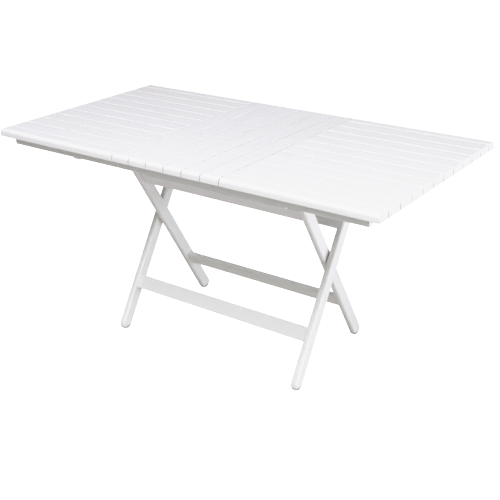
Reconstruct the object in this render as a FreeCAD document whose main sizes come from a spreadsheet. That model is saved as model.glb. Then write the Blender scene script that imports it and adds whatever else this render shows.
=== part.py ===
import FreeCAD, Part
import math
import os

import Sketcher

# Folding picnic table: a slatted top on a batten frame, carried by two X-shaped leg frames.
# The inner frame hinges under the front of the top. The outer frame pivots on the inner one
# where the legs cross, and its top rod rests in spring clips under the back of the top.
# Origin: on the floor, at the middle of the table. +X runs along the top, +Y to the back, +Z up.

SIZES = {
    # table top
    "top_length": 1480,
    "top_width": 800,
    "top_height": 750,
    "slat_thickness": 26,
    "slat_gap": 4,
    "slat_edge": 2,
    "side_slats": 12,
    "side_pitch": 70,
    "middle_slats": 6,
    "middle_pitch": 71,
    "middle_gap": 2.5,
    "nose_radius": 12,
    "nose_underside": 4,
    "soft_edge": 3,
    # long rails, battens and bearers under the slats
    "rail_inset": 28,
    "rail_end_inset": 44.5,
    "rail_thickness": 20,
    "rail_depth": 28,
    "batten_depth": 22,
    "end_batten_width": 40,
    "joint_batten_width": 60,
    "centre_rail_width": 40,
    "joint_screw_place": 230,
    "end_screw_place": 662,
    "edge_screw_place": 197,
    "edge_screw_row": 120,
    "bearer_depth": 38,
    "hinge_bearer_thickness": 20,
    "latch_bearer_thickness": 22,
    "latch_bearer_place": 411,
    "bearer_corner": 20,
    "bearer_toe": 12,
    "toe_corner": 9,
    "nose_round": 22,
    # leg frames
    "pivot_height": 380,
    "hinge_height": 676,
    "hinge_reach": 180,
    "leg_width": 45,
    "leg_thickness": 24,
    "leg_rounding": 8,
    "inner_leg_place": 346,
    "outer_leg_place": 374,
    "leg_gap": 4,
    "board_thickness": 20,
    "board_width": 50,
    "outer_stretcher_top": 233,
    "inner_stretcher_top": 221,
    "inner_rail_bottom": 199,
    "outer_rail_bottom": 105,
    "outer_rail_shift": 12.5,
    "rod_radius": 8,
    "rod_half_length": 424,
    # fasteners
    "fit_gap": 0.05,
    "screw_radius": 2,
    "screw_head_radius": 4,
    "screw_head_height": 2.2,
    "screw_length": 34,
    "screw_recess_span": 4.6,
    "screw_recess_width": 1,
    "screw_recess_depth": 1.3,
    "clip_screw_length": 17,
    "dowel_radius": 4,
    "dowel_length": 29,
    "dowel_depth": 20,
    "dowel_short_depth": 10,
    "leg_dowel_depth": 12,
    "dowel_drop": 13,
    "dowel_spacing": 28,
    "dowel_bevel": 1,
    "bolt_radius": 4,
    "bolt_length": 38,
    "bolt_head_radius": 6.5,
    "bolt_head_height": 5,
    "bolt_bevel": 0.8,
    "bolt_socket_radius": 2.9,
    "bolt_socket_depth": 3,
    "bolt_room": 1,
    "insert_radius": 6,
    "insert_length": 13,
    "insert_groove": 0.6,
    "insert_land": 1,
    "washer_radius": 10,
    "washer_thickness": 3.8,
    "plug_radius": 8,
    "plug_thickness": 4.8,
    "plug_bevel": 0.5,
    "pocket_depth": 10,
    # spring clips
    "clip_strip": 1.5,
    "clip_width": 16,
    "clip_tab": 28,
    "clip_lip": 2,
    "clip_slack": 0.5,
    "clip_tab_margin": 12,
    "clip_lip_run": 3,
    "clip_mouth_run": 9,
}

PLANE_NORMALS = {"XY_Plane": 1, "XZ_Plane": -1, "YZ_Plane": 1}
TOUCH = 1e-3
HEX_SIDES = 6
INSERT_BARBS = 4

Vector = FreeCAD.Vector
X_AXIS = Vector(1, 0, 0)
Y_AXIS = Vector(0, 1, 0)
Z_AXIS = Vector(0, 0, 1)

doc = FreeCAD.newDocument("FoldingPicnicTable")
parts = []


def fill_sheet():
    """Put every driving size in one sheet, under its own alias."""
    sheet = doc.addObject("Spreadsheet::Sheet", "Sizes")
    for row, (alias, number) in enumerate(SIZES.items(), start=1):
        cell = "A%d" % row
        sheet.set(cell, str(number))
        sheet.setAlias(cell, alias)
    doc.recompute()
    return sheet


sheet = fill_sheet()


def size(alias):
    """A driving size as a number."""
    return float(sheet.get(alias))


# ---- places worked out from the driving sizes, as expressions ----

SLATS_BOTTOM = "(Sizes.top_height - Sizes.slat_thickness)"
SIDE_SLAT_WIDTH = "(Sizes.side_pitch - Sizes.slat_gap)"
OUTER_SLAT_EDGE = "((Sizes.side_slats / 2 - 1) * Sizes.side_pitch + Sizes.slat_gap / 2)"
OUTER_SLAT_WIDTH = "(Sizes.top_width / 2 - %s)" % OUTER_SLAT_EDGE
OUTER_SLAT_PLACE = "(%s + %s / 2)" % (OUTER_SLAT_EDGE, OUTER_SLAT_WIDTH)
JOINT_PLACE = "(Sizes.middle_slats * Sizes.middle_pitch / 2)"
SIDE_SLAT_LENGTH = "(Sizes.top_length / 2 - %s - Sizes.middle_gap / 2)" % JOINT_PLACE
SIDE_SLAT_PLACE = "(%s + Sizes.middle_gap / 2 + %s / 2)" % (JOINT_PLACE, SIDE_SLAT_LENGTH)
RAIL_PLACE = "(Sizes.top_width / 2 - Sizes.rail_inset - Sizes.rail_thickness / 2)"
RAIL_HALF_LENGTH = "(Sizes.top_length / 2 - Sizes.rail_end_inset)"
RAIL_BOTTOM = "(%s - Sizes.rail_depth)" % SLATS_BOTTOM
BATTEN_BOTTOM = "(%s - Sizes.batten_depth)" % SLATS_BOTTOM
BEARER_BOTTOM = "(%s - Sizes.bearer_depth)" % SLATS_BOTTOM
BATTEN_HALF_LENGTH = "(%s - Sizes.rail_thickness / 2)" % RAIL_PLACE
END_BATTEN_PLACE = "(%s - Sizes.end_batten_width / 2)" % RAIL_HALF_LENGTH
HINGE_BEARER_PLACE = (
    "(Sizes.inner_leg_place - Sizes.leg_thickness / 2 - Sizes.leg_gap"
    " - Sizes.hinge_bearer_thickness / 2)"
)
CENTRE_RAIL_HALF = "(%s - Sizes.joint_batten_width / 2)" % JOINT_PLACE
DOWEL_LEVEL = "(%s - Sizes.dowel_drop)" % SLATS_BOTTOM
HINGE_RISE = "(Sizes.hinge_height - Sizes.pivot_height)"
REACH_UP = "sqrt(Sizes.hinge_reach ^ 2 + %s ^ 2)" % HINGE_RISE
LEAN = "atan(Sizes.hinge_reach / %s)" % HINGE_RISE
REACH_DOWN = "((Sizes.pivot_height - Sizes.leg_width / 2) / cos(%s))" % LEAN


def number(expression):
    """The value of an expression on the sheet, as a plain number."""
    value = sheet.evalExpression(expression)
    return float(getattr(value, "Value", value))


# ---- building blocks ----


def new_body(name):
    body = doc.addObject("PartDesign::Body", name)
    body.Label = name
    parts.append(body)
    return body


def new_sketch(body, name, role, level="0"):
    """A sketch on one of the body's own origin planes, moved along that plane's axis."""
    sketch = body.newObject("Sketcher::SketchObject", name)
    plane = [f for f in body.Origin.OriginFeatures if f.Role == role][0]
    sketch.AttachmentSupport = (plane, [""])
    sketch.MapMode = "FlatFace"
    sketch.setExpression("AttachmentOffset.Base.z", "%d * (%s)" % (PLANE_NORMALS[role], level))
    return sketch


def dimension(sketch, kind, places, expression):
    """Add a dimension whose value follows an expression on the sheet."""
    index = sketch.addConstraint(Sketcher.Constraint(kind, *places, number(expression)))
    sketch.setExpression("Constraints[%d]" % index, expression)


def add_rectangle(sketch, left, bottom, width, height):
    x0, y0, x1, y1 = number(left), number(bottom), number(width), number(height)
    corners = [(x0, y0), (x0 + x1, y0), (x0 + x1, y0 + y1), (x0, y0 + y1)]
    points = [Vector(x, y, 0) for x, y in corners]
    first = sketch.GeometryCount
    for i in range(4):
        sketch.addGeometry(Part.LineSegment(points[i], points[(i + 1) % 4]))
    for i in range(4):
        joined = Sketcher.Constraint("Coincident", first + i, 2, first + (i + 1) % 4, 1)
        sketch.addConstraint(joined)
        direction = "Horizontal" if i % 2 == 0 else "Vertical"
        sketch.addConstraint(Sketcher.Constraint(direction, first + i))
    dimension(sketch, "DistanceX", (-1, 1, first, 1), left)
    dimension(sketch, "DistanceY", (-1, 1, first, 1), bottom)
    dimension(sketch, "DistanceX", (first, 1, first, 2), width)
    dimension(sketch, "DistanceY", (first + 1, 1, first + 1, 2), height)


def add_circle(sketch, across, up, radius):
    centre = Vector(number(across), number(up), 0)
    circle = sketch.addGeometry(Part.Circle(centre, Z_AXIS, number(radius)))
    dimension(sketch, "DistanceX", (-1, 1, circle, 3), across)
    dimension(sketch, "DistanceY", (-1, 1, circle, 3), up)
    dimension(sketch, "Radius", (circle,), radius)


def add_stadium(sketch, low, high, width):
    """A bar with half-round ends, whose end centres are at low and high on the upright axis."""
    radius = number(width) / 2
    foot, head = Vector(0, number(low), 0), Vector(0, number(high), 0)
    side = Vector(radius, 0, 0)
    top = sketch.addGeometry(Part.ArcOfCircle(Part.Circle(head, Z_AXIS, radius), 0, math.pi))
    lower = Part.ArcOfCircle(Part.Circle(foot, Z_AXIS, radius), math.pi, 2 * math.pi)
    bottom = sketch.addGeometry(lower)
    left = sketch.addGeometry(Part.LineSegment(head - side, foot - side))
    right = sketch.addGeometry(Part.LineSegment(foot + side, head + side))
    for one, end, other, start in (
        (top, 2, left, 1),
        (left, 2, bottom, 1),
        (bottom, 2, right, 1),
        (right, 2, top, 1),
    ):
        sketch.addConstraint(Sketcher.Constraint("Tangent", one, end, other, start))
    sketch.addConstraint(Sketcher.Constraint("PointOnObject", top, 3, -2))
    sketch.addConstraint(Sketcher.Constraint("PointOnObject", bottom, 3, -2))
    dimension(sketch, "DistanceY", (-1, 1, top, 3), high)
    dimension(sketch, "DistanceY", (-1, 1, bottom, 3), low)
    dimension(sketch, "Radius", (top,), "%s / 2" % width)


def pad(body, sketch, length, centred=False):
    feature = body.newObject("PartDesign::Pad", sketch.Name + "_pad")
    feature.Profile = sketch
    feature.setExpression("Length", length)
    feature.Midplane = centred
    sketch.Visibility = False
    doc.recompute()
    return feature


def soften(body, name, radius, chosen):
    """Round every edge of the body whose middle point passes the test."""
    base = body.Tip
    edges = [
        "Edge%d" % (i + 1)
        for i, edge in enumerate(base.Shape.Edges)
        if chosen(edge.CenterOfMass)
    ]
    feature = body.newObject("PartDesign::Fillet", body.Name + "_" + name)
    feature.Base = (base, edges)
    feature.setExpression("Radius", radius)
    doc.recompute()
    return feature


def cut(body, sketch, role, inward, depth):
    """Cut the sketch's outline into the body, towards the given side of the plane's axis."""
    before = body.Shape.Volume
    feature = body.newObject("PartDesign::Pocket", sketch.Name + "_pocket")
    feature.Profile = sketch
    feature.setExpression("Length", depth)
    feature.Reversed = inward == PLANE_NORMALS[role]
    doc.recompute()
    if not body.Shape.Volume < before - TOUCH:
        raise RuntimeError("%s removed nothing" % feature.Name)
    return feature


def bore(body, name, role, face, inward, places, radius, depth):
    """Round holes from a face, each at an (across, up) place on the plane."""
    sketch = new_sketch(body, body.Name + "_" + name, role, face)
    for across, up in places:
        add_circle(sketch, across, up, radius)
    return cut(body, sketch, role, inward, depth)


def place(body, x="0", y="0", z="0", lean=None):
    """Put the body at its place, leant about the X axis if asked."""
    if lean:
        body.Placement = FreeCAD.Placement(Vector(), FreeCAD.Rotation(X_AXIS, 1))
        body.setExpression("Placement.Rotation.Angle", lean)
    body.setExpression("Placement.Base.x", x)
    body.setExpression("Placement.Base.y", y)
    body.setExpression("Placement.Base.z", z)
    doc.recompute()


def add_group(name, solids):
    """Identical loose pieces kept together under one name, each its own solid."""
    group = doc.addObject("Part::Feature", name)
    group.Label = name
    group.Shape = Part.makeCompound(solids)
    group.Placement = FreeCAD.Placement()
    parts.append(group)
    return group


def put(solid, where, axis):
    """A copy of a solid built along +Z, moved to a point and turned to an axis."""
    copy = solid.copy()
    copy.Placement = FreeCAD.Placement(Vector(*where), FreeCAD.Rotation(Z_AXIS, axis))
    return copy


def turned(outline):
    """A solid of revolution about Z, from (radius, height) points."""
    points = [Vector(radius, 0, height) for radius, height in outline]
    face = Part.Face(Part.makePolygon(points + points[:1]))
    return face.revolve(Vector(), Z_AXIS, 360)


# ---- table top ----

SCREW_HOLE = "Sizes.screw_radius + Sizes.fit_gap"
PILOT_DEPTH = "Sizes.screw_length - Sizes.batten_depth + Sizes.fit_gap"
SIDE_SCREW_COLUMNS = ["Sizes.joint_screw_place", "Sizes.end_screw_place"]
SIDE_COUNT = int(size("side_slats"))
MIDDLE_COUNT = int(size("middle_slats"))


def outward_side(index):
    """-1 or 1 for the slat along the table's front or back edge, 0 for the others."""
    return {0: -1, SIDE_COUNT - 1: 1}.get(index, 0)


def side_row(index):
    """The across-table place of a side slat; the outermost ones are narrower."""
    outward = outward_side(index)
    if outward:
        return "%d * %s" % (outward, OUTER_SLAT_PLACE)
    return "(%d - (Sizes.side_slats - 1) / 2) * Sizes.side_pitch" % index


def middle_column(index):
    """The along-table place of a middle slat."""
    return "(%d - (Sizes.middle_slats - 1) / 2) * Sizes.middle_pitch" % index


def side_screws(side, index):
    """Screw places of a side slat; the outermost slats are held by the long rails."""
    outward = outward_side(index)
    row = "%d * %s" % (outward, RAIL_PLACE) if outward else side_row(index)
    return [("%d * %s" % (side, column), row) for column in SIDE_SCREW_COLUMNS]


def middle_screws(index):
    """Screw places of a middle slat; the first and last are also held by the joint battens."""
    column = middle_column(index)
    spots = [(column, "-" + RAIL_PLACE), (column, RAIL_PLACE)]
    side = {0: -1, MIDDLE_COUNT - 1: 1}.get(index)
    if side is None:
        return spots + [(column, "0")]
    edge = "%d * Sizes.edge_screw_place" % side
    return spots + [(edge, "-Sizes.edge_screw_row"), (edge, "Sizes.edge_screw_row")]


def all_screws():
    spots = [spot for side in (-1, 1) for i in range(SIDE_COUNT) for spot in side_screws(side, i)]
    return spots + [spot for i in range(MIDDLE_COUNT) for spot in middle_screws(i)]


def from_place(spots, x, y):
    """Places on the table, as places from the middle of a piece."""
    return [("(%s) - (%s)" % (across, x), "(%s) - (%s)" % (up, y)) for across, up in spots]


def drill_for_screws(body, x, y, depth):
    """Holes through a piece for the slat screws that pass over it; returns their places."""
    box = body.Tip.Shape.BoundBox
    spots = [
        spot for spot in from_place(all_screws(), x, y)
        if box.XMin < number(spot[0]) < box.XMax and box.YMin < number(spot[1]) < box.YMax
    ]
    bore(body, "screws", "XY_Plane", "0", 1, spots, SCREW_HOLE, depth)
    return spots


def on_flat_faces(body):
    """A test for edges that lie in the body's top or bottom face."""
    box = body.Tip.Shape.BoundBox
    return lambda point: min(abs(point.z - box.ZMin), abs(point.z - box.ZMax)) < TOUCH


def round_nose(body, on_nose):
    """Round a slat's nose widely above and less below; returns a test for the slat's other edges."""
    box, flat = body.Tip.Shape.BoundBox, on_flat_faces(body)
    soften(body, "nose", "Sizes.nose_radius", lambda p: abs(p.z - box.ZMax) < TOUCH and on_nose(p))
    soften(body, "underside", "Sizes.nose_underside",
           lambda p: abs(p.z - box.ZMin) < TOUCH and on_nose(p))
    return lambda point: flat(point) and not on_nose(point)


def side_slat(name, side, index):
    """One lengthwise slat. The outermost ones have a rounded nose along the table's edge."""
    body = new_body(name)
    sketch = new_sketch(body, name + "_outline", "XY_Plane")
    outward = outward_side(index)
    width = OUTER_SLAT_WIDTH if outward else SIDE_SLAT_WIDTH
    add_rectangle(sketch, "-%s / 2" % SIDE_SLAT_LENGTH, "-%s / 2" % width, SIDE_SLAT_LENGTH, width)
    pad(body, sketch, "Sizes.slat_thickness")
    if outward:
        others = round_nose(body, lambda p: outward * p.y > TOUCH and abs(p.x) < TOUCH)
    else:
        others = on_flat_faces(body)
    soften(body, "edges", "Sizes.slat_edge", others)
    middle = "%d * %s" % (side, SIDE_SLAT_PLACE)
    screws = from_place(side_screws(side, index), middle, side_row(index))
    bore(body, "pilots", "XY_Plane", "0", 1, screws, SCREW_HOLE, PILOT_DEPTH)
    place(body, middle, side_row(index), SLATS_BOTTOM)


def middle_slat(name, index):
    """One crosswise slat, with a rounded nose at each end."""
    body = new_body(name)
    width = "(Sizes.middle_pitch - Sizes.middle_gap)"
    sketch = new_sketch(body, name + "_outline", "XY_Plane")
    add_rectangle(sketch, "-%s / 2" % width, "-Sizes.top_width / 2", width, "Sizes.top_width")
    pad(body, sketch, "Sizes.slat_thickness")
    others = round_nose(body, lambda p: abs(p.y) > TOUCH)
    soften(body, "edges", "Sizes.slat_edge", others)
    screws = from_place(middle_screws(index), middle_column(index), "0")
    bore(body, "pilots", "XY_Plane", "0", 1, screws, SCREW_HOLE, PILOT_DEPTH)
    place(body, middle_column(index), z=SLATS_BOTTOM)


# ---- frame under the top ----

CROSS_PIECES = [END_BATTEN_PLACE, "Sizes.latch_bearer_place", HINGE_BEARER_PLACE, JOINT_PLACE]
DOWEL_HOLE = "Sizes.dowel_radius + Sizes.fit_gap"
HEAD_HOLE = "Sizes.screw_head_radius + 10 * Sizes.fit_gap"


def long_rail(name, side):
    """A rail along the table under the slats' ends, drilled for the cross pieces' dowels."""
    body = new_body(name)
    sketch = new_sketch(body, name + "_outline", "XY_Plane")
    add_rectangle(sketch, "-" + RAIL_HALF_LENGTH, "-Sizes.rail_thickness / 2",
                  "2 * " + RAIL_HALF_LENGTH, "Sizes.rail_thickness")
    pad(body, sketch, "Sizes.rail_depth")
    soften(body, "edges", "Sizes.soft_edge / 2", lambda p: p.z < TOUCH)
    level = "%s - %s" % (DOWEL_LEVEL, RAIL_BOTTOM)
    dowels = [("%d * %s" % (s, x), level) for x in CROSS_PIECES for s in (-1, 1)]
    bore(body, "dowels", "XZ_Plane", "%d * Sizes.rail_thickness / 2" % -side, side,
         dowels, DOWEL_HOLE, "Sizes.dowel_short_depth")
    row = "%d * %s" % (side, RAIL_PLACE)
    spots = drill_for_screws(body, "0", row, "Sizes.rail_depth")
    bore(body, "heads", "XY_Plane", "0", 1, spots, HEAD_HOLE,
         "Sizes.rail_depth - Sizes.batten_depth")
    place(body, y=row, z=RAIL_BOTTOM)


def cross_batten(name, middle, width):
    """A flat batten between the long rails, with a screw up into each side slat it carries."""
    body = new_body(name)
    sketch = new_sketch(body, name + "_outline", "XY_Plane")
    add_rectangle(sketch, "-%s / 2" % width, "-" + BATTEN_HALF_LENGTH, width,
                  "2 * " + BATTEN_HALF_LENGTH)
    pad(body, sketch, "Sizes.batten_depth")
    half = number(width) / 2
    soften(body, "edges", "Sizes.soft_edge", lambda p: p.z < TOUCH and abs(abs(p.x) - half) < TOUCH)
    drill_ends(body, "%s - %s" % (DOWEL_LEVEL, BATTEN_BOTTOM))
    drill_for_screws(body, middle, "0", "Sizes.batten_depth")
    place(body, middle, z=BATTEN_BOTTOM)
    return body


def drill_ends(body, level):
    """A dowel hole in each end of a cross piece."""
    for side, label in ((-1, "front"), (1, "back")):
        bore(body, label + "_dowel", "XZ_Plane", "%d * %s" % (side, BATTEN_HALF_LENGTH), -side,
             [("0", level)], DOWEL_HOLE, "Sizes.dowel_depth")


def joint_batten(name, side):
    """The batten under the joint of side and middle slats; the centre rail is dowelled to it."""
    middle = "%d * %s" % (side, JOINT_PLACE)
    body = cross_batten(name, middle, "Sizes.joint_batten_width")
    bore(body, "centre_dowel", "YZ_Plane", "%d * Sizes.joint_batten_width / 2" % -side, side,
         [("0", "%s - %s" % (DOWEL_LEVEL, BATTEN_BOTTOM))], DOWEL_HOLE, "Sizes.dowel_short_depth")


def centre_rail(name):
    """A short rail along the middle, under the crosswise slats."""
    body = new_body(name)
    sketch = new_sketch(body, name + "_outline", "XY_Plane")
    add_rectangle(sketch, "-" + CENTRE_RAIL_HALF, "-Sizes.centre_rail_width / 2",
                  "2 * " + CENTRE_RAIL_HALF, "Sizes.centre_rail_width")
    pad(body, sketch, "Sizes.batten_depth")
    soften(body, "edges", "Sizes.soft_edge", lambda p: p.z < TOUCH and abs(p.x) < TOUCH)
    for side, label in ((-1, "left"), (1, "right")):
        bore(body, label + "_dowel", "YZ_Plane", "%d * %s" % (side, CENTRE_RAIL_HALF), -side,
             [("0", "%s - %s" % (DOWEL_LEVEL, BATTEN_BOTTOM))], DOWEL_HOLE, "Sizes.dowel_depth")
    drill_for_screws(body, "0", "0", "Sizes.batten_depth")
    place(body, z=BATTEN_BOTTOM)


def bearer(name, middle, thickness, toe="0", corner="Sizes.bearer_corner"):
    """A deep cross piece on edge, with rounded lower corners, or toes that reach under the rails."""
    body = new_body(name)
    sketch = new_sketch(body, name + "_outline", "YZ_Plane")
    add_rectangle(sketch, "-" + BATTEN_HALF_LENGTH, "0", "2 * " + BATTEN_HALF_LENGTH,
                  "Sizes.bearer_depth")
    pad(body, sketch, thickness, centred=True)
    end = number("%s + %s" % (BATTEN_HALF_LENGTH, toe))
    if number(toe):
        toes = new_sketch(body, name + "_toes", "YZ_Plane")
        add_rectangle(toes, "-(%s + %s)" % (BATTEN_HALF_LENGTH, toe), "0",
                      "2 * (%s + %s)" % (BATTEN_HALF_LENGTH, toe),
                      "%s - %s" % (RAIL_BOTTOM, BEARER_BOTTOM))
        pad(body, toes, thickness, centred=True)
    soften(body, "corners", corner, lambda p: p.z < TOUCH and abs(abs(p.y) - end) < TOUCH)
    drill_ends(body, "%s - %s" % (DOWEL_LEVEL, BEARER_BOTTOM))
    place(body, middle, z=BEARER_BOTTOM)
    return body


def hinge_bearer(name, side):
    """The bearer with a rounded nose round the hinge bolt of the inner frame."""
    body = bearer(name, "%d * %s" % (side, HINGE_BEARER_PLACE), "Sizes.hinge_bearer_thickness")
    drop = "Sizes.hinge_height - %s" % BEARER_BOTTOM
    nose = new_sketch(body, name + "_nose", "YZ_Plane")
    add_circle(nose, "-Sizes.hinge_reach", drop, "Sizes.nose_round")
    pad(body, nose, "Sizes.hinge_bearer_thickness", centred=True)
    web = new_sketch(body, name + "_web", "YZ_Plane")
    add_rectangle(web, "-Sizes.hinge_reach - Sizes.nose_round", drop, "2 * Sizes.nose_round",
                  "Sizes.bearer_depth / 2 - (%s)" % drop)
    pad(body, web, "Sizes.hinge_bearer_thickness", centred=True)
    bore(body, "bolt", "YZ_Plane", "-Sizes.hinge_bearer_thickness / 2", 1,
         [("-Sizes.hinge_reach", drop)], "Sizes.bolt_radius + Sizes.fit_gap",
         "Sizes.hinge_bearer_thickness")


def latch_bearer(name, side):
    """The bearer that carries the spring clip for the outer frame's rod."""
    body = bearer(name, "%d * Sizes.latch_bearer_place" % side, "Sizes.latch_bearer_thickness",
                  toe="Sizes.bearer_toe", corner="Sizes.toe_corner")
    bore(body, "clip_screw", "XY_Plane", "0", 1,
         [("0", "Sizes.hinge_reach - Sizes.clip_tab")], SCREW_HOLE, "Sizes.clip_screw_length")


# ---- leg frames ----

INNER_LEAN = LEAN
OUTER_LEAN = "-" + LEAN
BOLT_HOLE = "Sizes.bolt_radius + Sizes.fit_gap"
INSERT_HOLE = "Sizes.insert_radius + Sizes.fit_gap"
INSERT_DEPTH = "Sizes.insert_length + 4 * Sizes.fit_gap"


def board_dowels(middle):
    """The two dowel places in the end of a board whose middle is at this height."""
    return [("0", "%s %s Sizes.dowel_spacing / 2" % (middle, sign)) for sign in ("-", "+")]


OUTER_STRETCHER = "-(Sizes.outer_stretcher_top + Sizes.board_width / 2)"
INNER_STRETCHER = "-(Sizes.inner_stretcher_top + Sizes.board_width / 2)"
INNER_RAIL = "(Sizes.inner_rail_bottom + Sizes.board_width / 2)"
OUTER_RAIL = "(Sizes.outer_rail_bottom + Sizes.board_width / 2)"


def leg_blank(name):
    """A leg with half-round ends and rounded long edges, its crossing point at the origin."""
    body = new_body(name)
    sketch = new_sketch(body, name + "_outline", "YZ_Plane")
    add_stadium(sketch, "-" + REACH_DOWN, REACH_UP, "Sizes.leg_width")
    pad(body, sketch, "Sizes.leg_thickness", centred=True)
    face = size("leg_thickness") / 2
    soften(body, "edges", "Sizes.leg_rounding", lambda p: abs(abs(p.x) - face) < TOUCH)
    return body


def inner_leg(name, side):
    """A leg of the frame that hinges to the top: inserts for the hinge and crossing bolts."""
    body = leg_blank(name)
    inside, outside = "%d * Sizes.leg_thickness / 2" % -side, "%d * Sizes.leg_thickness / 2" % side
    crossing, hinge = [("0", "0")], [("0", REACH_UP)]
    bore(body, "crossing_insert", "YZ_Plane", outside, -side, crossing, INSERT_HOLE, INSERT_DEPTH)
    crossing_tip = (
        "Sizes.bolt_length + Sizes.bolt_room - Sizes.leg_gap - Sizes.leg_thickness"
        " + Sizes.pocket_depth"
    )
    bore(body, "crossing_bolt", "YZ_Plane", outside, -side, crossing, BOLT_HOLE, crossing_tip)
    bore(body, "hinge_insert", "YZ_Plane", inside, side, hinge, INSERT_HOLE, INSERT_DEPTH)
    hinge_tip = (
        "Sizes.bolt_length + Sizes.bolt_room - Sizes.leg_gap - Sizes.hinge_bearer_thickness"
    )
    bore(body, "hinge_bolt", "YZ_Plane", inside, side, hinge, BOLT_HOLE, hinge_tip)
    dowels = board_dowels(INNER_STRETCHER) + board_dowels(INNER_RAIL)
    bore(body, "dowels", "YZ_Plane", inside, side, dowels, DOWEL_HOLE, "Sizes.leg_dowel_depth")
    place(body, "%d * Sizes.inner_leg_place" % side, z="Sizes.pivot_height", lean=INNER_LEAN)


def outer_leg(name, side):
    """A leg of the frame that carries the rod: bolt pocket, rod hole, housing for the rail."""
    body = leg_blank(name)
    inside, outside = "%d * Sizes.leg_thickness / 2" % -side, "%d * Sizes.leg_thickness / 2" % side
    crossing = [("0", "0")]
    bore(body, "crossing_pocket", "YZ_Plane", outside, -side, crossing,
         "Sizes.plug_radius + Sizes.fit_gap", "Sizes.pocket_depth")
    bore(body, "crossing_bolt", "YZ_Plane", inside, side, crossing, BOLT_HOLE,
         "Sizes.leg_thickness")
    bore(body, "rod_hole", "YZ_Plane", inside, side, [("0", REACH_UP)],
         "Sizes.rod_radius + Sizes.fit_gap", "Sizes.leg_thickness")
    bore(body, "dowels", "YZ_Plane", inside, side, board_dowels(OUTER_STRETCHER), DOWEL_HOLE,
         "Sizes.leg_dowel_depth")
    housing = new_sketch(body, name + "_housing", "YZ_Plane", inside)
    add_rectangle(housing, "-Sizes.leg_width", "Sizes.outer_rail_bottom",
                  "Sizes.leg_width - Sizes.outer_rail_shift + Sizes.board_thickness / 2",
                  "Sizes.board_width")
    cut(body, housing, "YZ_Plane", side, "Sizes.leg_rounding")
    place(body, "%d * Sizes.outer_leg_place" % side, z="Sizes.pivot_height", lean=OUTER_LEAN)


def frame_board(name, shift, middle, half_length, lean, dowelled=True):
    """A board across a leg frame, its width along the legs."""
    body = new_body(name)
    sketch = new_sketch(body, name + "_outline", "YZ_Plane")
    add_rectangle(sketch, "%s - Sizes.board_thickness / 2" % shift,
                  "%s - Sizes.board_width / 2" % middle, "Sizes.board_thickness",
                  "Sizes.board_width")
    pad(body, sketch, "2 * (%s)" % half_length, centred=True)
    soften(body, "edges", "Sizes.soft_edge", lambda p: abs(p.x) < TOUCH)
    if dowelled:
        for side, label in ((-1, "left"), (1, "right")):
            bore(body, label + "_dowels", "YZ_Plane", "%d * (%s)" % (side, half_length), -side,
                 board_dowels(middle), DOWEL_HOLE, "Sizes.dowel_depth")
    place(body, z="Sizes.pivot_height", lean=lean)


def top_rod(name):
    """The round rod through the tops of the outer legs."""
    body = new_body(name)
    sketch = new_sketch(body, name + "_outline", "YZ_Plane")
    add_circle(sketch, "0", "0", "Sizes.rod_radius")
    pad(body, sketch, "2 * Sizes.rod_half_length", centred=True)
    soften(body, "ends", "Sizes.soft_edge", lambda p: abs(p.x) > 1)
    place(body, y="Sizes.hinge_reach", z="Sizes.hinge_height")


# ---- fasteners ----


def screw_solid(length):
    """A pan-head wood screw pointing up: cross-recessed head below zero, shank, pointed tip."""
    shank, head = size("screw_radius"), size("screw_head_radius")
    drop, tip = size("screw_head_height"), 2 * size("screw_radius")
    rim = head - drop / 2
    outline = [(0, -drop), (rim, -drop), (head, -drop / 2), (head, 0), (shank, 0),
               (shank, length - tip), (0, length)]
    span, width = size("screw_recess_span"), size("screw_recess_width")
    depth = size("screw_recess_depth")
    slot = Part.makeBox(span, width, depth, Vector(-span / 2, -width / 2, -drop))
    cross_slot = Part.makeBox(width, span, depth, Vector(-width / 2, -span / 2, -drop))
    return turned(outline).cut(slot.fuse(cross_slot))


def slat_screws():
    screw = screw_solid(size("screw_length"))
    seat = number(BATTEN_BOTTOM)
    solids = [put(screw, (number(x), number(y), seat), Z_AXIS) for x, y in all_screws()]
    add_group("slat_screws", solids)


def dowel_solid():
    radius, half = size("dowel_radius"), size("dowel_length") / 2
    bevel = size("dowel_bevel")
    return turned([(0, -half), (radius - bevel, -half), (radius, bevel - half),
                   (radius, half - bevel), (radius - bevel, half), (0, half)])


def top_frame_dowels():
    """Dowels between the long rails and cross pieces, and at the ends of the centre rail."""
    dowel = dowel_solid()
    level = number(DOWEL_LEVEL)
    inward = (size("dowel_depth") - size("dowel_short_depth")) / 2
    y = number(BATTEN_HALF_LENGTH) - inward
    x = number(CENTRE_RAIL_HALF) - inward
    solids = [
        put(dowel, (side * number(piece), end * y, level), Y_AXIS)
        for piece in CROSS_PIECES for side in (-1, 1) for end in (-1, 1)
    ]
    solids += [put(dowel, (side * x, 0, level), X_AXIS) for side in (-1, 1)]
    add_group("top_frame_dowels", solids)


def leg_point(along, lean):
    """The point on a leg's centre line at a distance up from the crossing."""
    angle = math.radians(number(lean))
    return (-math.sin(angle) * along, size("pivot_height") + math.cos(angle) * along)


def leg_dowels(name, boards, leg_place, lean):
    """Dowels between the boards and legs of one frame."""
    face = size(leg_place) - size("leg_thickness") / 2
    x = face + (size("leg_dowel_depth") - size("dowel_depth")) / 2
    dowel = dowel_solid()
    solids = []
    for board in boards:
        for _, along in board_dowels(board):
            y, z = leg_point(number(along), lean)
            solids += [put(dowel, (side * x, y, z), X_AXIS) for side in (-1, 1)]
    add_group(name, solids)


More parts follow.
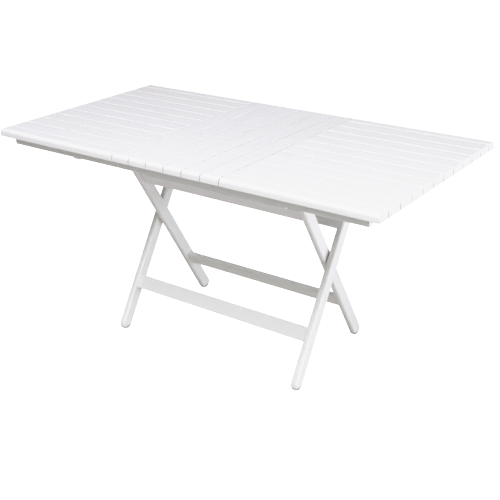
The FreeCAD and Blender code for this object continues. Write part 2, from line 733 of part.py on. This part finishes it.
def pivot_fasteners():
    """The four pivots: crossing bolts enter from outside, hinge bolts from inside the bearers."""
    leg_half, gap = size("leg_thickness") / 2, size("leg_gap")
    inner_face = size("inner_leg_place") - leg_half
    outer_face = size("inner_leg_place") + leg_half
    crossing_seat = size("outer_leg_place") + leg_half - size("pocket_depth")
    hinge_seat = inner_face - gap - size("hinge_bearer_thickness")
    crossing = (0, size("pivot_height"))
    hinge = (-size("hinge_reach"), size("hinge_height"))
    bolt, insert, washer = bolt_solid(), insert_solid(), washer_solid()
    slack = (gap - size("washer_thickness")) / 2
    bolts, inserts, washers, plugs = [], [], [], []
    for side in (-1, 1):
        outward, inward = X_AXIS * side, X_AXIS * -side
        bolts.append(put(bolt, (side * crossing_seat, *crossing), outward))
        bolts.append(put(bolt, (side * hinge_seat, *hinge), inward))
        inserts.append(put(insert, (side * (outer_face - slack), *crossing), inward))
        inserts.append(put(insert, (side * (inner_face + slack), *hinge), outward))
        washers.append(put(washer, (side * (outer_face + slack), *crossing), outward))
        washers.append(put(washer, (side * (inner_face - slack), *hinge), inward))
        plug_face = size("outer_leg_place") + leg_half
        plugs.append(put(plug_solid(), (side * plug_face, *crossing), inward))
    add_group("pivot_bolts", bolts)
    add_group("pivot_inserts", inserts)
    add_group("pivot_washers", washers)
    add_group("pivot_plugs", plugs)


def bolt_solid():
    """A socket-head bolt: head above zero, shank below."""
    shank, head = size("bolt_radius"), size("bolt_head_radius")
    top, length, bevel = size("bolt_head_height"), size("bolt_length"), size("bolt_bevel")
    solid = turned([(0, -length), (shank - bevel, -length), (shank, bevel - length), (shank, 0),
                    (head, 0), (head, top - bevel), (head - bevel, top), (0, top)])
    reach, depth = size("bolt_socket_radius"), size("bolt_socket_depth")
    turns = [math.tau * corner / HEX_SIDES for corner in range(HEX_SIDES + 1)]
    corners = [Vector(reach * math.cos(turn), reach * math.sin(turn), top - depth) for turn in turns]
    socket = Part.Face(Part.makePolygon(corners)).extrude(Z_AXIS * depth)
    return solid.cut(socket)


def insert_solid():
    """A barbed sleeve set into the inner legs."""
    bore_radius, outer = size("bolt_radius") + size("fit_gap"), size("insert_radius")
    length, groove, land = size("insert_length"), size("insert_groove"), size("insert_land")
    outline = [(bore_radius, 0), (outer, 0)]
    step = length / INSERT_BARBS
    for barb in range(1, INSERT_BARBS):
        edge = barb * step
        outline += [(outer, edge - land), (outer - groove, edge - land), (outer, edge + land)]
    outline += [(outer, length), (bore_radius, length)]
    return turned(outline)


def washer_solid():
    hole, outer = size("bolt_radius") + size("fit_gap"), size("washer_radius")
    thickness = size("washer_thickness")
    return turned([(hole, 0), (outer, 0), (outer, thickness), (hole, thickness)])


def plug_solid():
    radius, thickness, bevel = size("plug_radius"), size("plug_thickness"), size("plug_bevel")
    return turned([(0, 0), (radius - bevel, 0), (radius, bevel), (radius, thickness), (0, thickness)])


def latch_clips():
    """Bent spring-steel clips under the latch bearers, open to the back, with a raised lip."""
    strip, width = size("clip_strip"), size("clip_width")
    y, z = size("hinge_reach"), size("hinge_height")
    inner = size("rod_radius") + size("clip_slack")
    tab_end = y - size("clip_tab") - size("clip_tab_margin")
    lip = size("clip_lip")
    lip_y, mouth_y = y + inner + size("clip_lip_run"), y + inner + size("clip_mouth_run")
    top = z + inner
    low = z - inner
    line = Part.Wire([
        Part.makeLine(Vector(0, y + inner, top), Vector(0, y, top)),
        Part.Arc(Vector(0, y, top), Vector(0, y - inner, z), Vector(0, y, low)).toShape(),
        Part.makeLine(Vector(0, y, low), Vector(0, y + inner, low)),
        Part.makeLine(Vector(0, y + inner, low), Vector(0, lip_y, low + lip)),
        Part.makeLine(Vector(0, lip_y, low + lip), Vector(0, mouth_y, low - lip)),
    ])
    hook = strip_face(line, strip, Vector(0, y, top + strip / 2))
    tab = Part.makePolygon([Vector(0, tab_end, top), Vector(0, y, top), Vector(0, y, top + strip),
                            Vector(0, tab_end, top + strip), Vector(0, tab_end, top)])
    clip = hook.extrude(X_AXIS * width).fuse(Part.Face(tab).extrude(X_AXIS * width))
    clip = clip.removeSplitter()
    hole = Part.makeCylinder(size("screw_radius") + size("fit_gap"), 4 * strip,
                             Vector(width / 2, y - size("clip_tab"), top - strip), Z_AXIS)
    clip = clip.cut(hole)
    middle = size("latch_bearer_place")
    solids = []
    for side in (-1, 1):
        copy = clip.copy()
        copy.translate(Vector(side * middle - width / 2, 0, 0))
        solids.append(copy)
    add_group("latch_clips", solids)
    screw = screw_solid(size("clip_screw_length"))
    add_group("clip_screws", [
        put(screw, (side * middle, y - size("clip_tab"), top), Z_AXIS) for side in (-1, 1)
    ])


def strip_face(line, strip, inside_point):
    """The band of metal on one side of a bent line, on the side that holds the given point."""
    for offset in (strip, -strip):
        face = line.makeOffset2D(offset, join=2, fill=True, openResult=True)
        if face.distToShape(Part.Vertex(inside_point))[0] < TOUCH:
            return face
    raise RuntimeError("the strip has no side with the given point")


# ---- the whole table ----


def build_top():
    for index in range(SIDE_COUNT):
        side_slat("left_slat_%02d" % (index + 1), -1, index)
        side_slat("right_slat_%02d" % (index + 1), 1, index)
    for index in range(MIDDLE_COUNT):
        middle_slat("middle_slat_%d" % (index + 1), index)
    long_rail("front_rail", -1)
    long_rail("back_rail", 1)
    for side, label in ((-1, "left"), (1, "right")):
        end = "%d * %s" % (side, END_BATTEN_PLACE)
        cross_batten(label + "_end_batten", end, "Sizes.end_batten_width")
        joint_batten(label + "_joint_batten", side)
        hinge_bearer(label + "_hinge_bearer", side)
        latch_bearer(label + "_latch_bearer", side)
    centre_rail("centre_rail")
    slat_screws()
    top_frame_dowels()
    latch_clips()


def build_legs():
    for side, label in ((-1, "left"), (1, "right")):
        inner_leg("inner_leg_" + label, side)
        outer_leg("outer_leg_" + label, side)
    inner_half = "Sizes.inner_leg_place - Sizes.leg_thickness / 2"
    outer_half = "Sizes.outer_leg_place - Sizes.leg_thickness / 2"
    frame_board("inner_stretcher", "0", INNER_STRETCHER, inner_half, INNER_LEAN)
    frame_board("inner_upper_rail", "0", INNER_RAIL, inner_half, INNER_LEAN)
    frame_board("outer_stretcher", "0", OUTER_STRETCHER, outer_half, OUTER_LEAN)
    frame_board("outer_upper_rail", "-Sizes.outer_rail_shift", OUTER_RAIL,
                outer_half + " + Sizes.leg_rounding", OUTER_LEAN, dowelled=False)
    top_rod("top_rod")
    leg_dowels("inner_frame_dowels", [INNER_STRETCHER, INNER_RAIL], "inner_leg_place", INNER_LEAN)
    leg_dowels("outer_frame_dowels", [OUTER_STRETCHER], "outer_leg_place", OUTER_LEAN)
    pivot_fasteners()


def check_document():
    """Stop if any object failed, or any piece's shape is empty or broken."""
    doc.recompute()
    for item in doc.Objects:
        if "Invalid" in item.State or "Error" in item.State:
            raise RuntimeError("%s failed: %s" % (item.Name, item.State))
    for piece in parts:
        if piece.Shape.isNull() or not piece.Shape.isValid() or not piece.Shape.Solids:
            raise RuntimeError("%s has no valid shape" % piece.Label)


def write_parts():
    os.makedirs("parts", exist_ok=True)
    for piece in parts:
        piece.Shape.exportStep(os.path.join("parts", piece.Label + ".step"))


build_top()
build_legs()
check_document()
write_parts()
print("%d pieces written" % len(parts))
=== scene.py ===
"""Looks of the folding table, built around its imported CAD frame. Metres, Z up, the front faces -Y."""
import math
import random

import bpy
from mathutils import Matrix, Vector


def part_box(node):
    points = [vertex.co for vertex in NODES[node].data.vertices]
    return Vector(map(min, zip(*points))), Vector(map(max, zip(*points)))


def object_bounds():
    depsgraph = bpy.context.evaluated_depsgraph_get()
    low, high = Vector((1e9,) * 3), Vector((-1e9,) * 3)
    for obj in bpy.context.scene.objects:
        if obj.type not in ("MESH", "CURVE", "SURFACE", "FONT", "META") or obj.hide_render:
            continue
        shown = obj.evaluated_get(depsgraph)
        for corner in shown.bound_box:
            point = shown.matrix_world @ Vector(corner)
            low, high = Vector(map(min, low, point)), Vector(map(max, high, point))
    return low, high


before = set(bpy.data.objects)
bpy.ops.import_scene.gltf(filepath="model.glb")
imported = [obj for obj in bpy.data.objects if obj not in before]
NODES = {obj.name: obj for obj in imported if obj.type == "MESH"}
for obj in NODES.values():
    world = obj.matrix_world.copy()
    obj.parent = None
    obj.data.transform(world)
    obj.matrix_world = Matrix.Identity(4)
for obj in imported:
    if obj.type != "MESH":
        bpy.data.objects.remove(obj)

CAD_BOX = [list(corner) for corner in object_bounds()]
MM = 0.001

# The grain runs along X, except in the pieces that lie along Y and in the leaning legs.
ALONG_Y = ("middle_slat", "left_end", "right_end", "left_joint", "right_joint", "left_hinge",
           "right_hinge", "left_latch", "right_latch", "latch_clips")
LEGS = ("inner_leg_left", "inner_leg_right", "outer_leg_left", "outer_leg_right")
# The share of a leg's height that counts as its foot, and as its head.
LEG_END = 0.12
# Each piece is sawn from its own plank: how far the tree's middle lies beside the piece and above
# or below it, where along the plank the piece starts, and how far apart the rings are. Metres.
PITH_BESIDE = 0.05
PITH_CLEAR = (0.03, 0.11)
PLANK_START = 9
RING_SPACING = 0.0052
PLANK_SEED = 11

# Colours are linear.
PAINT_WHITE = (0.875, 0.873, 0.885, 1)
PAINT_WARM = (0.855, 0.845, 0.835, 1)
# Painted shade: the rails, battens and bearers under the top get the same white paint made darker,
# standing in for the shade under the top.
SHADE_DARKENED_RAIL_WHITE = (0.805, 0.800, 0.805, 1)
SHADE_DARKENED_RAIL_WARM = (0.785, 0.770, 0.755, 1)
PRIMER = (0.60, 0.56, 0.50, 1)
FOOT_DARK = (0.20, 0.19, 0.17, 1)
# The feet get darker below the first height above the floor, and darkest below the second.
FOOT_DARK_TOP = 19 * MM
FOOT_DARK_FULL = 7 * MM

# Light and camera.
CAMERA_TURN = math.radians(35.536)
CAMERA_RISE = math.radians(21.122)
CAMERA_ROLL = math.radians(-0.62)
CAMERA_DISTANCE = 3.383
CAMERA_TARGET = Vector((-0.0901, 0.1818, 0.400))
CAMERA_LENS = 65.578
CAMERA_SHIFT = (0.0, -0.08)
SOFTBOX_SIDE = 2.2
SOFTBOX_DISTANCE = 4.0
SOFTBOX_AIM = Vector((0, 0, 0.45))
# Name, turn from the front and rise above the floor in degrees, watts, colour.
SOFTBOXES = (
    ("key", 0, 55, 129, (0.898, 0.864, 1.0)),
    ("front_fill", 30, 40, 42, (0.84, 1.0, 0.735)),
    ("back_top", 180, 55, 24, (1.0, 0.97, 0.93)),
    ("right_top", 90, 65, 33, (0.95, 0.93, 1.0)),
    ("back_right", 120, 10, 53, (0.76, 0.89, 1.0)),
    ("right_low", 90, 8, 57, (0.98, 0.911, 0.947)),
    ("left_fill", -90, 50, 18, (1.0, 0.95, 0.84)),
)
FLOOR_HALF = 40.0
FLOOR_COLOUR = (0.62, 0.62, 0.62, 1)
FLOOR_GLOW = (0.116, 0.093, 0.063, 1)
FLOOR_WHITENESS = 0.88
BACKDROP = 2.6
# Linear brightness of the scene, then of the picture.
FILM_SHOULDER = ((0.40, 0.40), (0.82, 0.82), (0.94, 0.90), (1.10, 0.935), (1.25, 0.96), (1.80, 1.05))
# The curve that holds all colours comes after those of red, green and blue.
ALL_COLOURS = 3


# ---------------------------------------------------------------- shader nodes

# The Mix node's sockets for colours.
MIX_INPUTS = (0, 6, 7)
MIX_OUTPUT = 2


class Shader:
    """A node tree with short calls for the nodes used here."""

    def __init__(self, tree):
        self.tree = tree
        tree.nodes.clear()

    def link(self, value, socket):
        if isinstance(value, bpy.types.NodeSocket):
            self.tree.links.new(value, socket)
        else:
            socket.default_value = value

    def node(self, kind, inputs=None, **settings):
        made = self.tree.nodes.new("ShaderNode" + kind)
        for key, value in settings.items():
            setattr(made, key, value)
        for key, value in (inputs or {}).items():
            self.link(value, made.inputs[key])
        return made

    def math(self, operation, a, b=0.0, c=0.0):
        return self.node("Math", {0: a, 1: b, 2: c}, operation=operation).outputs[0]

    def vector(self, operation, a, b=(0, 0, 0), output=0):
        made = self.node("VectorMath", {0: a, 1: b}, operation=operation)
        return made.outputs[output]

    def dot(self, a, b):
        return self.vector("DOT_PRODUCT", a, b, "Value")

    def place_at_rest(self):
        """Position in metres on the open table, which stays with the piece as it moves."""
        return self.node("TexCoord").outputs["Object"]

    def owned(self, name, output="Vector"):
        """A value kept on the object that wears the material."""
        return self.node("Attribute", attribute_type="OBJECT", attribute_name=name).outputs[output]

    def ramp(self, value, low, high, start=0.0, end=1.0):
        """A smooth change from start, where the value is low, to end, where it is high."""
        made = self.node("MapRange", {"Value": value, "From Min": low, "From Max": high,
                                      "To Min": start, "To Max": end}, interpolation_type="SMOOTHSTEP")
        return made.outputs["Result"]

    def noise(self, place, scale, detail=2.0, rough=0.5):
        made = self.node("TexNoise", {"Vector": place, "Scale": scale, "Detail": detail,
                                      "Roughness": rough})
        return made.outputs["Fac"]

    def mix(self, share, a, b, blend="MIX"):
        made = self.node("Mix", data_type="RGBA", blend_type=blend)
        for key, value in zip(MIX_INPUTS, (share, a, b)):
            self.link(value, made.inputs[key])
        return made.outputs[MIX_OUTPUT]

    def stretched(self, place, along, across):
        """Texture space with features `along` metres long and `across` metres wide."""
        return self.vector("MULTIPLY", place, (1 / along, 1 / across, 1 / across))

    def grain_place(self):
        """Position in the piece's own directions: along its grain, across it, through it."""
        point = self.place_at_rest()
        parts = [self.dot(point, self.owned(name)) for name in ("grain_along", "grain_side", "grain_up")]
        joined = self.node("CombineXYZ", dict(enumerate(parts))).outputs[0]
        return self.vector("ADD", joined, self.owned("grain_shift"))


def material(name):
    made = bpy.data.materials.new(name)
    made.use_nodes = True
    return made, Shader(made.node_tree)


def output(shader, surface):
    shader.node("OutputMaterial", {"Surface": surface})


def growth_rings(shader, place):
    """Rings of the tree the board was sawn from, 0 to 1, wavering along the board."""
    waver = shader.noise(shader.stretched(place, 0.35, 0.06), 1.0, 2.0)
    radius = shader.vector("LENGTH", shader.vector("MULTIPLY", place, (0.012, 1, 1)), output="Value")
    ring = shader.math("MULTIPLY_ADD", waver, 0.030, radius)
    wave = shader.math("SINE", shader.math("MULTIPLY", ring, 2 * math.pi / RING_SPACING))
    return shader.math("MULTIPLY_ADD", wave, 0.5, 0.5)


def painted_wood(name, gloss, white=PAINT_WHITE, warm=PAINT_WARM, wear=0.35):
    """Satin paint brushed on planed wood: the grain lifts it a little, arrises wear, the feet get darker
    towards the floor.
    """
    made, s = material(name)
    place = s.grain_place()
    rings = growth_rings(s, place)
    fibres = s.noise(s.stretched(place, 0.020, 0.0007), 1.0, 3.0, 0.6)
    brush = s.noise(s.stretched(place, 0.110, 0.0016), 1.0, 2.0, 0.55)
    patches = s.noise(s.stretched(place, 0.30, 0.09), 1.0, 3.0)
    tone = s.owned("tone", "Fac")

    share = s.math("ADD", s.math("MULTIPLY", patches, 0.55), s.math("MULTIPLY", tone, 0.45))
    colour = s.mix(share, white, warm)
    lines = s.ramp(rings, 0.55, 1.0, 1.0, 0.972)
    streaks = s.ramp(brush, 0.35, 0.70, 1.0, 0.985)
    shade = s.math("MULTIPLY", lines, streaks)
    colour = s.mix(1.0, colour, s.node("CombineColor", {0: shade, 1: shade, 2: shade}).outputs[0],
                   "MULTIPLY")

    rounded = s.node("Bevel", {"Radius": 1.8 * MM}, samples=6).outputs[0]
    facing = s.dot(rounded, s.node("NewGeometry").outputs["Normal"])
    arris = s.ramp(facing, 0.995, 0.90)
    rubbed = s.ramp(s.noise(s.stretched(place, 0.045, 0.012), 1.0, 3.0, 0.6), 0.48, 0.75)
    worn = s.math("MULTIPLY", s.math("MULTIPLY", arris, rubbed), wear)
    colour = s.mix(worn, colour, PRIMER)

    # The colour gets darker in patches towards the floor, at the feet.
    point = s.place_at_rest()
    above_floor = s.node("SeparateXYZ", {0: point}).outputs["Z"]
    patchy = s.ramp(s.noise(point, 110.0), 0.36, 0.60, 0.35, 0.90)
    foot_dark = s.math("MULTIPLY", s.ramp(above_floor, FOOT_DARK_TOP, FOOT_DARK_FULL), patchy)
    colour = s.mix(foot_dark, colour, FOOT_DARK)

    rough = s.math("ADD", gloss, s.math("MULTIPLY", s.math("SUBTRACT", patches, 0.5), 0.16))
    rough = s.math("ADD", rough, s.math("MULTIPLY", brush, 0.06))
    rough = s.math("ADD", rough, s.math("MULTIPLY", worn, 0.25))
    height = s.math("MULTIPLY", rings, 0.05 * MM)
    height = s.math("ADD", height, s.math("MULTIPLY", fibres, 0.035 * MM))
    height = s.math("ADD", height, s.math("MULTIPLY", brush, 0.06 * MM))
    normal = s.node("Bump", {"Strength": 1.0, "Distance": 1.0, "Height": height}).outputs[0]
    body = s.node("BsdfPrincipled", {
        "Base Color": colour, "Roughness": rough, "Normal": normal, "IOR": 1.48,
        "Coat Weight": 0.12, "Coat Roughness": 0.28,
    })
    output(s, body.outputs[0])
    return made


def metal(name, colour, tint, rough, scratch):
    """Plated or bare metal with fine turning marks, cloudy roughness and painted shade that darkens its
    recesses.
    """
    made, s = material(name)
    point = s.place_at_rest()
    cloud = s.noise(point, 260.0, 3.0)
    marks = s.noise(s.vector("MULTIPLY", point, (900, 5200, 5200)), 1.0, 2.0, 0.6)
    shade = s.mix(s.ramp(cloud, 0.35, 0.70), colour, tint)
    # Painted shade: the colour goes towards near-black in recesses, where ambient occlusion finds nearby
    # surfaces.
    recess_shade = s.node("AmbientOcclusion", {"Distance": 1.5 * MM}, samples=4).outputs["AO"]
    shade = s.mix(s.ramp(recess_shade, 0.2, 0.9, 0.45, 0.0), shade, (0.05, 0.045, 0.04, 1))
    roughness = s.math("ADD", rough, s.math("MULTIPLY", cloud, 0.22))
    bump = s.node("Bump", {"Strength": 1.0, "Distance": scratch, "Height": marks}).outputs[0]
    body = s.node("BsdfPrincipled", {"Base Color": shade, "Metallic": 1.0, "Roughness": roughness,
                                     "Normal": bump})
    output(s, body.outputs[0])
    return made


def bare_beech(name):
    """Fluted-dowel beech: pale brown with short dark flecks."""
    made, s = material(name)
    point = s.place_at_rest()
    fibre = s.noise(s.vector("MULTIPLY", point, (70, 900, 900)), 1.0, 3.0, 0.6)
    fleck = s.noise(s.vector("MULTIPLY", point, (350, 2200, 2200)), 1.0, 1.0)
    colour = s.mix(fibre, (0.62, 0.40, 0.23, 1), (0.74, 0.53, 0.34, 1))
    colour = s.mix(s.ramp(fleck, 0.60, 0.72, 0.0, 0.5), colour, (0.36, 0.20, 0.10, 1))
    bump = s.node("Bump", {"Strength": 0.6, "Distance": 0.05 * MM, "Height": fibre}).outputs[0]
    body = s.node("BsdfPrincipled", {"Base Color": colour, "Roughness": 0.66, "Normal": bump})
    output(s, body.outputs[0])
    return made


def moulded_nylon(name):
    """Milky nylon with a fine moulded texture."""
    made, s = material(name)
    point = s.place_at_rest()
    texture = s.noise(point, 1800.0, 2.0)
    cloud = s.noise(point, 160.0, 2.0)
    colour = s.mix(cloud, (0.72, 0.71, 0.67, 1), (0.80, 0.79, 0.76, 1))
    bump = s.node("Bump", {"Strength": 0.5, "Distance": 0.03 * MM, "Height": texture}).outputs[0]
    body = s.node("BsdfPrincipled", {
        "Base Color": colour, "Roughness": s.ramp(cloud, 0.2, 0.8, 0.42, 0.58), "Normal": bump,
        "Subsurface Weight": 0.25, "Subsurface Scale": 1.5 * MM,
    })
    output(s, body.outputs[0])
    return made


# ---------------------------------------------------------------- finishes on the CAD pieces

def leg_direction(piece):
    """From the middle of a leg's foot to the middle of its head."""
    low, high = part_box(piece.name)
    reach = LEG_END * (high.z - low.z)
    points = [v.co for v in piece.data.vertices]
    foot = [p for p in points if p.z < low.z + reach]
    head = [p for p in points if p.z > high.z - reach]
    middle = [sum(group, Vector()) / len(group) for group in (foot, head)]
    return (middle[1] - middle[0]).normalized()


def grain_axis(piece):
    """The direction in which the piece's wood grew."""
    if piece.name in LEGS:
        return leg_direction(piece)
    if piece.name.startswith(ALONG_Y):
        return Vector((0, 1, 0))
    return Vector((1, 0, 0))


def set_grain(piece, draw):
    """Keeps the piece's grain directions and its place in its own plank on the object."""
    along = grain_axis(piece)
    side = Vector((0, 0, 1)).cross(along).normalized()
    up = along.cross(side)
    piece["grain_along"] = list(along)
    piece["grain_side"] = list(side)
    piece["grain_up"] = list(up)
    centre = sum(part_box(piece.name), Vector()) / 2
    beside = draw.uniform(-PITH_BESIDE, PITH_BESIDE)
    above = draw.choice((-1, 1)) * draw.uniform(*PITH_CLEAR)
    start = draw.uniform(0, PLANK_START)
    piece["grain_shift"] = [start, beside - side.dot(centre), above - up.dot(centre)]
    piece["tone"] = draw.random()


def finish_pieces():
    finishes = {
        "top_paint": painted_wood("painted_slat", 0.36),
        # Painted shade: the frame under the top wears the darkened copy of the white paint.
        "frame_paint": painted_wood("painted_rail", 0.50, SHADE_DARKENED_RAIL_WHITE, SHADE_DARKENED_RAIL_WARM, wear=0.2),
        "leg_paint": painted_wood("painted_leg", 0.42, wear=0.45),
        "bare_dowel": bare_beech("bare_beech"),
        "zinc_steel": metal("zinc_steel", (0.56, 0.57, 0.58, 1), (0.66, 0.63, 0.54, 1), 0.26, 0.03 * MM),
        "spring_steel": metal("spring_steel", (0.40, 0.40, 0.41, 1), (0.50, 0.49, 0.48, 1), 0.22,
                              0.04 * MM),
        "brass_insert": metal("brass_insert", (0.78, 0.56, 0.26, 1), (0.66, 0.44, 0.20, 1), 0.24,
                              0.03 * MM),
        "nylon": moulded_nylon("nylon"),
    }
    draw = random.Random(PLANK_SEED)
    for name in sorted(NODES):
        piece = NODES[name]
        set_grain(piece, draw)
        for slot in piece.material_slots:
            slot.material = finishes[slot.material.name.split(".")[0]]


# ---------------------------------------------------------------- studio

def outward(turn, rise):
    """The direction from the table towards a light or camera, at a turn from the front, in radians."""
    level = Vector((math.sin(turn), -math.cos(turn), 0))
    return level * math.cos(rise) + Vector((0, 0, math.sin(rise)))


def add_floor():
    """A pale seamless floor, seen from above only, so that the underside can be looked at too."""
    level = CAD_BOX[0][2]
    mesh = bpy.data.meshes.new("studio_floor")
    corners = [(x * FLOOR_HALF, y * FLOOR_HALF, level) for x, y in ((-1, -1), (1, -1), (1, 1), (-1, 1))]
    mesh.from_pydata(corners, [], [(0, 1, 2, 3)])
    floor = bpy.data.objects.new("studio_floor", mesh)
    bpy.context.scene.collection.objects.link(floor)
    made, s = material("studio_floor")
    paths = s.node("LightPath")
    diffuse = s.node("BsdfDiffuse", {"Color": FLOOR_COLOUR})
    bounce = s.node("Emission", {"Color": FLOOR_GLOW, "Strength": 1.0})
    lit = s.node("AddShader", {0: diffuse.outputs[0], 1: bounce.outputs[0]})
    shown = s.node("Emission", {"Color": (1, 1, 1, 1), "Strength": BACKDROP})
    share = s.math("MULTIPLY", paths.outputs["Is Camera Ray"], FLOOR_WHITENESS)
    seen = s.node("MixShader", {0: share, 1: lit.outputs[0], 2: shown.outputs[0]})
    clear = s.node("BsdfTransparent")
    behind = s.node("NewGeometry").outputs["Backfacing"]
    both = s.node("MixShader", {0: behind, 1: seen.outputs[0], 2: clear.outputs[0]})
    output(s, both.outputs[0])
    mesh.materials.append(made)


def add_world():
    """A white backdrop that gives no light of its own: the softboxes and the floor light the table."""
    world = bpy.data.worlds.new("studio")
    bpy.context.scene.world = world
    world.use_nodes = True
    s = Shader(world.node_tree)
    seen = s.node("LightPath").outputs["Is Camera Ray"]
    glow = s.math("MULTIPLY", seen, BACKDROP)
    backdrop = s.node("Background", {"Color": (1, 1, 1, 1), "Strength": glow})
    s.node("OutputWorld", {"Surface": backdrop.outputs[0]})


def add_softbox(name, turn, rise, power, colour):
    """A square light aimed at the table, at a turn from the front and a rise above the floor."""
    back = outward(math.radians(turn), math.radians(rise))
    light = bpy.data.lights.new(name, "AREA")
    light.shape = "SQUARE"
    light.size = SOFTBOX_SIDE
    light.energy = power
    light.color = colour
    lamp = bpy.data.objects.new(name, light)
    facing = back.to_track_quat("Z", "Y").to_matrix().to_4x4()
    lamp.matrix_world = Matrix.Translation(SOFTBOX_AIM + back * SOFTBOX_DISTANCE) @ facing
    bpy.context.scene.collection.objects.link(lamp)


def add_camera():
    """A camera that looks down at the front right of the table, turned a little about its view."""
    back = outward(CAMERA_TURN, CAMERA_RISE)
    level = Vector((math.cos(CAMERA_TURN), math.sin(CAMERA_TURN), 0))
    right = level * math.cos(CAMERA_ROLL) + back.cross(level) * math.sin(CAMERA_ROLL)
    up = back.cross(right)
    data = bpy.data.cameras.new("camera")
    data.lens = CAMERA_LENS
    data.shift_x, data.shift_y = CAMERA_SHIFT
    camera = bpy.data.objects.new("camera", data)
    turned = Matrix((right, up, back)).transposed().to_4x4()
    camera.matrix_world = Matrix.Translation(CAMERA_TARGET + back * CAMERA_DISTANCE) @ turned
    bpy.context.scene.collection.objects.link(camera)
    bpy.context.scene.camera = camera


def set_film():
    """Display colours as they are, with the brightest ones eased towards white as on film."""
    view = bpy.context.scene.view_settings
    view.view_transform = "Standard"
    view.use_curve_mapping = True
    view.curve_mapping.use_clip = False
    curve = view.curve_mapping.curves[ALL_COLOURS]
    curve.points[-1].location = FILM_SHOULDER[-1]
    for place in FILM_SHOULDER[:-1]:
        curve.points.new(*place)
    view.curve_mapping.update()


finish_pieces()
add_floor()
add_world()
for softbox in SOFTBOXES:
    add_softbox(*softbox)
add_camera()
set_film()
